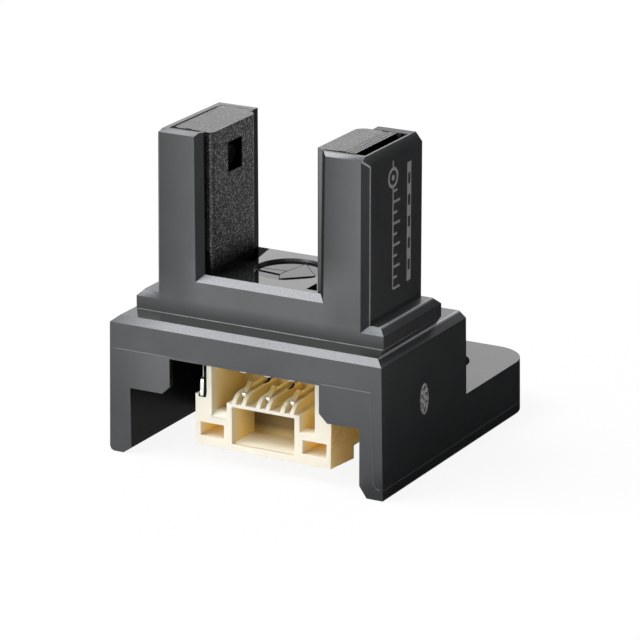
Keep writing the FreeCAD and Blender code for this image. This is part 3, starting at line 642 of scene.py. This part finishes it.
nylonSetting = {
    "cream": ((0.745, 0.70, 0.60), (0.76735, 0.721, 0.618)),
    "noises": {"drift": (1.2, 2), "grain": (0.05, 2), "blotch": (0.2, 3, 0.7)},
    "zones": {
        "upward": [lookingUp],
        "notUp": [notUp],
        "back": [lookingFront, ("y", above, 2.2, 0.1)],
        "rightSide": onNylonSide,
        "deep": [("y", above, 1.05, 0.6)],
        # floors near the front, spared from the painted shade
        "unshadedFloor": [lookingUp, ("y", below, 2.1, 1.6)],
        # the left bay's wall, pale in front of its shade
        "bayWall": [lookingRight, ("x", below, 4.9, 0.02), ("z", above, 2.1, 0.02)],
        "bayWallShade": [("y", above, 1.14, 0.05)],
        "bayFloor": [("y", above, 0.72, 0.02), ("y", below, 1.25, 0.7), ("z", between, 2.1, 2.5, 0.02)],
        "rightBay": [("x", above, 8.9, 0.1), ("z", above, 2.1, 0.05)],
        "leftPocket": [("x", below, 5.5, 0.1), ("z", below, 2.05, 0.1)],
        "rightPocket": [("x", above, 9.1, 0.1), ("z", below, 2.05, 0.1)],
        # the plug cavity and how painted shade deepens on its walls, back and floor inwards and upwards
        "cavity": [("x", between, 5.6, 9), ("y", above, 0.9, 0.1), ("z", between, 0.9, 2.85)],
        "wallDepth": [("y", above, 1.85, 1.9), ("z", above, 1.8, 2)],
        "backHeight": [("z", above, 1.2, 4 / 3)],
        "behindRim": [("y", above, 1.05, 0.1)],
        "floorFront": [("y", below, 1.8, 1.7)],
        "seam": [*onNylonSide, (("z", "y", 0.7, -0.02), near, 1.62, 0.04)],
        "reddish": [*onNylonSide, ("y", below, 1.7, 0.3), ("z", between, 1.75, 2.75, 0.2)],
    },
    "bayWallDeep": (0.1, 1),
    "floorSpared": 0.7,
    "inside": {"leftPocket": 1, "rightPocket": 1, "cavityWall": 1, "rightBay": 0.3},
    "lit": {"cavityFloor": 1, "bayFloor": 0.8},
    "shadeShare": (0.85, 1),
    "deepestShare": (0.8, 1),
    "blotchFrom": (0.5, 0.2),
    "coats": {
        "shade": ((0.90, 0.71, 0.32), 1),          # painted shade on the walls deep inside
        # painted deepest shade at the cavity's back, darker upwards
        "deepest": ((0.10, 0.055, 0.014), 1),
        # painted warmer tone on the shaded right side
        "rightSide": ((0.94, 0.73, 0.40), 1),
        "blotch": ((0.55, 0.33, 0.18), 0.5),
        "seam": ((0.50, 0.36, 0.16), 0.45),
    },
    "glows": {
        "wall": ((0.31, 0.16, 0.005), 1),          # painted glow on the thin walls, standing in for light through them
        "floor": ((0.88, 0.88, 0.70), 1),          # and painted light on the floors, standing in for what the front sends onto them
    },
    "glowStrength": 0.36,
    "roughness": 0.42,
    "roughnessSwings": {"grain": 0.12},
    "deepRougher": 0.5,
    "reliefDepth": 0.002,
    "scatterShare": 0.3,
    "scatterReach": (1.0, 0.6, 0.25),
    "scatterSize": 0.7,                    # millimetres
}


def nylon():
    s = nylonSetting
    f = Finish("nylon")
    noise = f.noises(s["noises"])
    on = f.zones(s["zones"])
    deep = swapped(on["deep"], on["bayWall"], graded(on["bayWallShade"], *s["bayWallDeep"]))
    deep = deep * (1 - on["unshadedFloor"])
    depth = on["wallDepth"] * (1 - on["upward"] * s["floorSpared"]) + on["back"] * on["backHeight"]
    depth = depth.clamped() * on["cavity"]
    on["cavityWall"] = on["cavity"] * (1 - depth) * (1 - on["back"]) * on["behindRim"]
    on["cavityFloor"] = on["cavity"] * on["floorFront"]
    inside = weighed(on, s["inside"]).clamped()

    tone = f.painted(f.blend(noise["drift"], *s["cream"]), s["coats"], {
        "shade": deep * graded(noise["drift"], *s["shadeShare"]),
        "deepest": depth * graded(noise["drift"], *s["deepestShare"]),
        "rightSide": on["rightSide"],
        "blotch": above(noise["blotch"], *s["blotchFrom"]) * on["reddish"],
        "seam": on["seam"],
    })
    # painted glow: light through the walls and light from the front onto the floors
    glow = f.painted((0, 0, 0), s["glows"], {
        "wall": (on["rightSide"] + deep * on["notUp"] * inside).clamped(),
        "floor": (weighed(on, s["lit"]) * on["upward"]).clamped(),
    })
    rough = s["roughness"] + uneven(noise, s["roughnessSwings"]) + deep * s["deepRougher"]
    return f.surface(Base_Color=tone, Roughness=rough, Normal=f.bump(noise["grain"], s["reliefDepth"]),
                     Subsurface_Weight=s["scatterShare"], Subsurface_Radius=s["scatterReach"],
                     Subsurface_Scale=s["scatterSize"] * mm, Emission_Color=glow,
                     Emission_Strength=s["glowStrength"])


plainSetting = {
    # noises of tone and gloss, the two tones, roughness and its swing, the rest as sockets
    "tinnedStrip": {
        "noises": {"tone": (0.5, 2), "gloss": (0.05, 2, 0.5, (1, 0.1, 0.1))},
        "tones": ((0.86, 0.84, 0.78), (0.97, 0.96, 0.93)),
        "roughness": 0.32,
        "swing": 0.16,
        "reliefDepth": 0.001,
        "sockets": {"Metallic": 1.0},
    },
    "solderMetal": {
        "noises": {"tone": (0.25, 2), "gloss": (0.25, 2)},
        "tones": ((0.60, 0.61, 0.63), (0.74, 0.75, 0.76)),
        "roughness": 0.22,
        "swing": 0.2,
        "reliefDepth": 0.01,
        "sockets": {"Metallic": 1.0},
    },
    "chipSurface": {
        "noises": {"tone": (0.05, 2), "gloss": (0.05, 2)},
        "tones": ((0.16, 0.16, 0.2), (0.28, 0.27, 0.3)),
        "roughness": 0.3,
        "swing": 0.1,
        "sockets": {"Metallic": 0.7},
    },
}


def plainFinish(name, values):
    f = Finish(name)
    noise = f.noises(values["noises"])
    sockets = dict(values["sockets"], Base_Color=f.blend(noise["tone"], *values["tones"]),
                   Roughness=values["roughness"] + uneven(noise, {"gloss": values["swing"]}))
    if "reliefDepth" in values:
        sockets["Normal"] = f.bump(noise["gloss"], values["reliefDepth"])
    return f.surface(**sockets)


def lookOf(name):
    return plainFinish(name, plainSetting[name])


resinSetting = {"haze": (0.3, 2), "hazeTone": 1.25, "swing": 0.06, "gloss": 0.08}


def resin(name, tone, roughness):
    s = resinSetting
    return plainFinish(name, {
        "noises": {"tone": s["haze"], "gloss": s["haze"]},
        "tones": (tone, tuple(side * s["hazeTone"] for side in tone)),
        "roughness": roughness,
        "swing": s["swing"],
        "sockets": {"Specular_IOR_Level": s["gloss"]},
    })


laminateSetting = {
    "noises": {"weave": (0.12, 2, 0.5, (1, 0.25, 1)), "cross": (0.12, 2, 0.5, (0.25, 1, 1))},
    "weaving": {"weave": 0.5, "cross": 0.5},
    "tones": ((0.018, 0.085, 0.038), (0.03, 0.12, 0.055)),
    "edgeFrom": (0.5, 0.2),
    "edgeTone": (0.42, 0.40, 0.24),
    "roughness": (0.32, 0.62),             # on the faces and on the edge
    "relief": {"weave": 1, "cross": 1},
    "reliefDepth": 0.003,
}


def boardLaminate():
    s = laminateSetting
    f = Finish("boardLaminate")
    noise = f.noises(s["noises"])
    edge = above(1 - abs(f.faceZ), *s["edgeFrom"])
    tone = f.blend(edge, f.blend(weighed(noise, s["weaving"]), *s["tones"]), s["edgeTone"])
    return f.surface(Base_Color=tone, Roughness=graded(edge, *s["roughness"]),
                     Normal=f.bump(weighed(noise, s["relief"]), s["reliefDepth"]))


partSetting = {
    "speck": (0.05, 2),
    "speckTone": 1.4,
    "capShare": 0.2,                       # of the body's length
    "capEdge": 0.01,
    "capTone": (0.78, 0.77, 0.74),
    "roughness": (0.5, 0.6),
    "capSmoother": 0.2,
}


def partBody(name, node, tone):
    # ceramic body with a metal cap at each end of its longest side
    s = partSetting
    f = Finish(name)
    speck = f.noise(*s["speck"])
    low, high = [fromCase(corner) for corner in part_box(node)]
    along, start, end = max(zip((f.x, f.y, f.z), low, high), key=lambda side: side[2] - side[1])
    capWidth = (end - start) * s["capShare"]
    cap = 1 - between(along, start + capWidth, end - capWidth, s["capEdge"])
    body = f.blend(speck, tone, tuple(side * s["speckTone"] for side in tone))
    return f.surface(Base_Color=f.blend(cap, body, s["capTone"]), Metallic=cap,
                     Roughness=graded(speck, *s["roughness"]) - cap * s["capSmoother"])


caseSetting = {
    "microBevel": 0.035,
    "plateEnd": (10.6, 5.35),              # back plate's corner beside the slot, right arm
    "plateFoot": 8.5,
    "plateBevel": 0.22,
    "legBevel": 0.22,
    "legTurns": 2,
    "moves": [
        ((5.6, 1.4, 8.3), (9.1, 4.8, 8.4), (0, 0, 0.13)),          # recess floor
        ((2.15, 0.6, 7.5), (2.25, 0.7, 7.6), (0.14, -0.2, 0)),     # left arm's outer corner
        ((2.3, 0.6, 14.4), (2.45, 0.7, 14.5), (0.03, -0.2, 0.25)),
        ((2.3, 5.3, 14.4), (2.45, 5.4, 14.5), (0.03, 0, 0.25)),
        ((2.6, 0.38, 14.8), (2.75, 0.6, 15), (-0.1, 0, 0)),
        ((2.6, 5.3, 14.8), (2.75, 5.4, 15), (-0.1, 0, 0)),
        ((2.4, 0.3, 7.2), (2.55, 0.4, 7.3), (-0.06, 0, 0)),
        ((2.65, 0.3, 14.7), (2.75, 0.38, 14.8), (-0.16, 0, 0)),
        ((12.3, 5.3, 14.9), (12.5, 5.4, 15), (0, -0.2, 0)),        # right arm's rear crown
        ((10.3, 5.3, 14.9), (12.3, 5.4, 15), (0, -0.2, 0)),
        ((1.2, 0.38, 6.2), (13.3, 0.45, 6.3), (0, -0.06, 0)),      # plinth's foot
        ((12.42, 0.46, 14.88), (12.44, 0.48, 14.9), (-0.07, -0.07, -0.16)),    # right arm's mitre
        ((1.0, -0.1, 0.4), (1.15, 8, 0.55), (0, 0, -0.21)),        # legs' inner edges
        ((12.45, -0.1, 0.4), (12.6, 8, 3.1), (-0.06, 0, 0.03)),
        ((12.85, -0.1, -0.1), (12.95, 8, 0.1), (-0.08, 0, 0)),
    ],
    # bead left by the mould's parting, round the front and the right side of the plinth
    "bead": [((1.3, 0.32, 6.63), (13.41, 0.37, 6.69)), ((13.38, 0.36, 6.63), (13.45, 5.6, 6.69))],
    "beadRound": 0.024,
    "arrow": [(6.09, 2.67), (7.21, 2.53), (7.49, 1.93), (8.68, 3.01), (7.49, 4.34), (7.26, 3.05),
              (6.06, 2.97)],
    "arrowFoot": 8.45,
    "arrowHeight": 0.055,
    "arrowRound": 0.012,
}


def makeCase(plastic):
    s = caseSetting
    shape = copiedNode("case")
    endX, endY = s["plateEnd"]

    def onPlateEnd(place):
        return at(place.x, endX) and at(place.y, endY) and place.z > s["plateFoot"]

    def onLegEdge(place):
        return at(place.x, 0) and at(place.z, 0)

    bevelled(shape, onPlateEnd, s["plateBevel"])
    bevelled(shape, onLegEdge, s["legBevel"], s["legTurns"])
    moved(shape, s["moves"])
    shell = finishPiece("caseShell", shape, plastic, ["case"])
    softened(shell, s["microBevel"])

    shape = bmesh.new()
    for low, high in s["bead"]:
        block(shape, low, high)
    bead = finishPiece("partingBead", shape, plastic)
    softened(bead, s["beadRound"])

    shape = bmesh.new()
    prism(shape, [(x, y, s["arrowFoot"]) for x, y in s["arrow"]], (0, 0, s["arrowHeight"]))
    arrow = finishPiece("floorArrow", shape, plastic)
    softened(arrow, s["arrowRound"])


shadeBlockSetting = {
    # dark blocks as painted shade in the joints and small openings beside the holders' tops: two corners
    # each, in millimetres
    "tops": [((2.84, 0.7, 14.8), (2.965, 4.66, 14.936)), ((2.84, 0.66, 14.8), (4.3, 0.83, 14.937)),
             ((2.86, 0.66, 14.8), (3.1, 0.93, 14.938)), ((3.52, 0.66, 14.8), (3.8, 0.91, 14.938)),
             ((10.35, 0.68, 14.8), (11.9, 0.81, 14.937)), ((11.0, 0.68, 14.8), (11.32, 0.9, 14.938)),
             ((11.08, 4.5, 14.8), (11.36, 4.62, 14.938))],
    # dark blocks as painted shade in the gaps beside the left solder tab
    "gaps": [((4.16, 0.685, 2.98), (4.52, 0.71, 3.105)), ((4.41, 0.69, 3.05), (4.53, 0.72, 4.86))],
    # dark strips as painted shade along the arrow's edges: the numbers of two corners, and the width
    "grooves": [(0, 1, 0.03), (5, 6, 0.04), (6, 0, 0.04), (1, 5, 0.04), (1, 2, 0.03), (2, 3, 0.045),
                (3, 4, 0.025), (4, 5, 0.025)],
    "grooveFoot": 8.485,
    "grooveHeight": 0.028,
    # dark crescents as painted shade behind the contacts: corners across and up, and the step to the next
    "crescent": [(6.66, 3.60), (6.78, 3.62), (6.95, 3.72), (7.05, 3.90), (7.0, 3.97), (6.90, 3.82),
                 (6.78, 3.70)],
    "crescents": 2,
    "crescentStep": (1.19, -0.08),
    "crescentBack": 2.0,
    "crescentDepth": 0.06,
    "round": 0.01,
}


# dark blocks that stand in for the shade in joints, gaps and openings
def makeShadeBlocks(dark):
    s = shadeBlockSetting
    shape = bmesh.new()
    for low, high in s["tops"] + s["gaps"]:
        block(shape, low, high)
    corners = [Vector((*corner, s["grooveFoot"])) for corner in caseSetting["arrow"]]
    for first, last, width in s["grooves"]:
        start, end = corners[first], corners[last]
        across = Vector((start.y - end.y, end.x - start.x, 0)).normalized() * width / 2
        prism(shape, [start - across, end - across, end + across, start + across], (0, 0, s["grooveHeight"]))
    stepX, stepZ = s["crescentStep"]
    for turn in range(s["crescents"]):
        corners = [(x + turn * stepX, s["crescentBack"], z + turn * stepZ) for x, z in s["crescent"]]
        prism(shape, corners, (0, -s["crescentDepth"], 0))
    shadeBlocks = finishPiece("paintedShadeBlocks", shape, dark)
    softened(shadeBlocks, s["round"])


blockSetting = {
    "microBevel": 0.03,
    # the receiver's slot side and its outer side
    "moves": {
        "receiver_holder": [
            ((10.0, 0.7, 7.9), (10.07, 4.4, 15), (-0.1, 0, 0)),
            ((10.07, 0.7, 7.9), (10.12, 4.5, 15), (-0.07, 0, 0)),
            ((10.12, 0.7, 7.9), (10.2, 4.55, 15), (-0.04, 0, 0)),
            ((11.9, 0.7, 7.9), (12.0, 4.7, 15), (-0.14, 0, 0)),
        ],
    },
}


def makeHolders():
    s = blockSetting
    grain = holderPlastic()
    for name, node in (("emitterBlock", "emitter_holder"), ("receiverBlock", "receiver_holder")):
        shape = copiedNode(node)
        moved(shape, s["moves"].get(node, ()))
        piece = finishPiece(name, shape, grain, [node])
        softened(piece, s["microBevel"])


connectorSetting = {
    "microBevel": 0.03,
    "metalBevel": 0.025,
    "lip": ((6.2, 0.7, 4.50), (9.95, 0.8, 4.62)),
    "sill": ((4.79, 5.57), [(0.705, 2.1), (0.705, 2.155), (1.075, 2.35), (1.6, 2.35), (1.6, 2.1)]),
    # the lower right edge
    "moves": [((10.7, 2.7, 0.7), (10.8, 2.8, 0.85), (0, 0, -0.19)),
              ((10.7, 0.6, 0.7), (10.8, 0.8, 0.85), (-0.04, 0, -0.06))],
    # bright pads under the lintel: places across, half width, low and high corner from the front and up
    "pads": (6.46, 7.67, 8.85),
    "padHalf": 0.16,
    "padLow": (0.56, 4.465),
    "padHigh": (0.76, 4.57),
    "tabFoot": ((4.23, 0.67, 3.03), (4.40, 0.72, 3.3)),
}


def makeConnector():
    s = connectorSetting
    shape = copiedNode("connector_housing")
    moved(shape, s["moves"])
    block(shape, *s["lip"])
    (start, end), outline = s["sill"]
    prism(shape, [(start, y, z) for y, z in outline], (end - start, 0, 0))
    body = finishPiece("connectorBody", shape, nylon(), ["connector_housing"])
    softened(body, s["microBevel"])
    bright = lookOf("tinnedStrip")
    for node in ("contact_1", "contact_2", "contact_3", "solder_tab_left", "solder_tab_right"):
        name = node.replace("_", "") + "Strip"
        piece = finishPiece(name, copiedNode(node), bright, [node])
        softened(piece, s["metalBevel"])
    shape = bmesh.new()
    half = s["padHalf"]
    for x in s["pads"]:
        block(shape, (x - half, *s["padLow"]), (x + half, *s["padHigh"]))
    block(shape, *s["tabFoot"])
    pads = finishPiece("rootPads", shape, bright)
    softened(pads, s["metalBevel"])


nodeSetting = {
    "emitterTone": (0.004, 0.003, 0.006),
    "receiverTone": (0.004, 0.004, 0.005),
    "shadeBlockTone": (0.002, 0.002, 0.002),
    "packageRoughness": 0.3,
    "shadeBlockRoughness": 0.8,
    "resistorTone": (0.02, 0.02, 0.022),
    "capacitorTone": (0.36, 0.24, 0.13),
}


def dressNodes():
    s = nodeSetting
    bright = lookOf("tinnedStrip")
    looks = {
        "emitter_led": resin("emitterResin", s["emitterTone"], s["packageRoughness"]),
        "receiver_ic": resin("receiverResin", s["receiverTone"], s["packageRoughness"]),
        "emitter_chip": lookOf("chipSurface"),
        "receiver_chip": lookOf("chipSurface"),
        "circuit_board": boardLaminate(),
        "lead_solder": lookOf("solderMetal"),
        "emitter_resistor": partBody("resistorBody", "emitter_resistor", s["resistorTone"]),
        "pull_up_resistor": partBody("secondResistorBody", "pull_up_resistor", s["resistorTone"]),
        "bypass_capacitor": partBody("capacitorBody", "bypass_capacitor", s["capacitorTone"]),
    }
    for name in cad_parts:
        if "_lead_" in name:
            looks[name] = bright
    for name, look in looks.items():
        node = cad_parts[name]
        node.data.materials.clear()
        node.data.materials.append(look)


cameraSetting = {
    "place": (87.857, -141.291, 59.837),
    "towards": (-0.45659, 0.83459, -0.30820),
    "frameWidth": 640,
    "focalLength": 4000,                   # in pixels of the frame
    "sensorWidth": 36,                     # millimetres
    "clip": (0.001, 10),                   # metres
}


def makeCamera():
    s = cameraSetting
    lens = bpy.data.cameras.new("photoCamera")
    lens.sensor_width = s["sensorWidth"]
    lens.lens = lens.sensor_width * s["focalLength"] / s["frameWidth"]
    lens.clip_start, lens.clip_end = s["clip"]
    camera = bpy.data.objects.new("photoCamera", lens)
    camera.location = caseAt(*s["place"])
    camera.rotation_mode = "QUATERNION"
    camera.rotation_quaternion = Vector(s["towards"]).to_track_quat("-Z", "Y")
    bpy.context.scene.collection.objects.link(camera)
    bpy.context.scene.camera = camera


studioSetting = {
    "white": (1, 1, 1, 1),
    "ambient": 0.3,
    "lamps": {
        # place in millimetres from the case's corner, side in millimetres, power in watts
        "keyLamp": ((-95, -62, 190), 125, 0.50),
        "frontLamp": ((-75, -190, 60), 110, 0.23),
        "backLamp": ((-84, 171, 72), 120, 0.036),
        "rimLamp": ((-5, 171, 116), 60, 0.10),
    },
    "aim": (7, 4, 7),
    "floor": (1200, 1200, (7, 7, -0.02), (0, 0, 1)),
    "floorTone": (0.8, 0.8, 0.8, 1),
    "floorGlow": 0.9,
    "flags": {
        # width, depth, place and facing of the dark cards that the right sides mirror
        "lyingFlag": (68, 150, (46, 35, 0.03), (0, 0, 1)),
        "standingFlag": (56, 60, (33.5, 70.5, 30), (-0.545, -0.839, 0)),
        # a bright card for the upright edges on the right
        "edgeCard": (30, 11, (45, 10.5, 0.06), (0, 0, 1)),
    },
    "flagTone": (0.01, 0.01, 0.01, 1),
    "edgeGlow": 12,
}


def makeLamp(name, place, side, power):
    light = bpy.data.lights.new(name, "AREA")
    light.shape = "SQUARE"
    light.size = side * mm
    light.energy = power
    lamp = bpy.data.objects.new(name, light)
    lamp.location = caseAt(*place)
    lamp.rotation_mode = "QUATERNION"
    aim = caseAt(*studioSetting["aim"]) - lamp.location
    lamp.rotation_quaternion = aim.to_track_quat("-Z", "Y")
    lamp.visible_camera = False
    bpy.context.scene.collection.objects.link(lamp)


def seenDirectly(tree):
    # 1 for camera, glossy and transmission rays, so that gloss shows the white surroundings
    path = tree.nodes.new("ShaderNodeLightPath")
    total = path.outputs["Is Camera Ray"]
    for name in ("Is Glossy Ray", "Is Transmission Ray"):
        step = tree.nodes.new("ShaderNodeMath")
        step.operation = "MAXIMUM"
        tree.links.new(total, step.inputs[0])
        tree.links.new(path.outputs[name], step.inputs[1])
        total = step.outputs[0]
    return total


def mixedShaders(tree, amount, first, second, end):
    mix = tree.nodes.new("ShaderNodeMixShader")
    tree.links.new(amount, mix.inputs["Fac"])
    tree.links.new(first.outputs[0], mix.inputs[1])
    tree.links.new(second.outputs[0], mix.inputs[2])
    last = tree.nodes.new(end)
    tree.links.new(mix.outputs[0], last.inputs["Surface"])


def makeWorld():
    world = bpy.data.worlds.new("studioWorld")
    bpy.context.scene.world = world
    world.use_nodes = True
    tree = world.node_tree
    tree.nodes.clear()
    dim = tree.nodes.new("ShaderNodeBackground")
    dim.inputs["Strength"].default_value = studioSetting["ambient"]
    full = tree.nodes.new("ShaderNodeBackground")
    for background in (dim, full):
        background.inputs["Color"].default_value = studioSetting["white"]
    mixedShaders(tree, seenDirectly(tree), dim, full, "ShaderNodeOutputWorld")


def stagePlane(name, width, depth, place, facing):
    # a flat card or floor that isn't part of the sensor
    shape = bmesh.new()
    turn = Vector(facing).to_track_quat("Z", "Y").to_matrix().to_4x4()
    spot = Matrix.Translation(caseAt(*place)) @ turn @ Matrix.Diagonal((width * mm / 2, depth * mm / 2, 1, 1))
    bmesh.ops.create_grid(shape, x_segments=1, y_segments=1, size=1, matrix=spot)
    mesh = bpy.data.meshes.new(name)
    shape.to_mesh(mesh)
    shape.free()
    look = bpy.data.materials.new(name + "Paper")
    look.use_nodes = True
    look.node_tree.nodes.clear()
    mesh.materials.append(look)
    plane = bpy.data.objects.new(name, mesh)
    bpy.context.scene.collection.objects.link(plane)
    return plane, look.node_tree


def makeFloor():
    s = studioSetting
    plane, tree = stagePlane("floor", *s["floor"])
    share = tree.nodes.new("ShaderNodeMath")
    share.operation = "MULTIPLY"
    share.inputs[1].default_value = s["floorGlow"]
    tree.links.new(seenDirectly(tree), share.inputs[0])
    paper = tree.nodes.new("ShaderNodeBsdfDiffuse")
    paper.inputs["Color"].default_value = s["floorTone"]
    glow = tree.nodes.new("ShaderNodeEmission")
    glow.inputs["Strength"].default_value = 1.0
    mixedShaders(tree, share.outputs[0], paper, glow, "ShaderNodeOutputMaterial")


def makeFlags():
    # studio cards: only gloss sees them, and they cast no shadow
    s = studioSetting
    for name, values in s["flags"].items():
        plane, tree = stagePlane(name, *values)
        bright = name == "edgeCard"
        face = tree.nodes.new("ShaderNodeEmission" if bright else "ShaderNodeBsdfDiffuse")
        face.inputs["Color"].default_value = s["white"] if bright else s["flagTone"]
        if bright:
            face.inputs["Strength"].default_value = s["edgeGlow"]
        last = tree.nodes.new("ShaderNodeOutputMaterial")
        tree.links.new(face.outputs[0], last.inputs["Surface"])
        plane.visible_camera = False
        plane.visible_diffuse = False
        plane.visible_shadow = False
        plane.visible_transmission = False


def makeStudio():
    for name, values in studioSetting["lamps"].items():
        makeLamp(name, *values)
    makeWorld()
    makeFloor()
    makeFlags()


makeCase(casePlastic())
print("case done")
makeHolders()
# dark blocks painted as shade
makeShadeBlocks(resin("pitShade", nodeSetting["shadeBlockTone"], nodeSetting["shadeBlockRoughness"]))
makeConnector()
print("holders and connector done")
dressNodes()
print("nodes dressed")
makeCamera()
makeStudio()
bpy.context.scene.view_settings.view_transform = "Standard"
print("studio done")

bpy.context.view_layer.update()
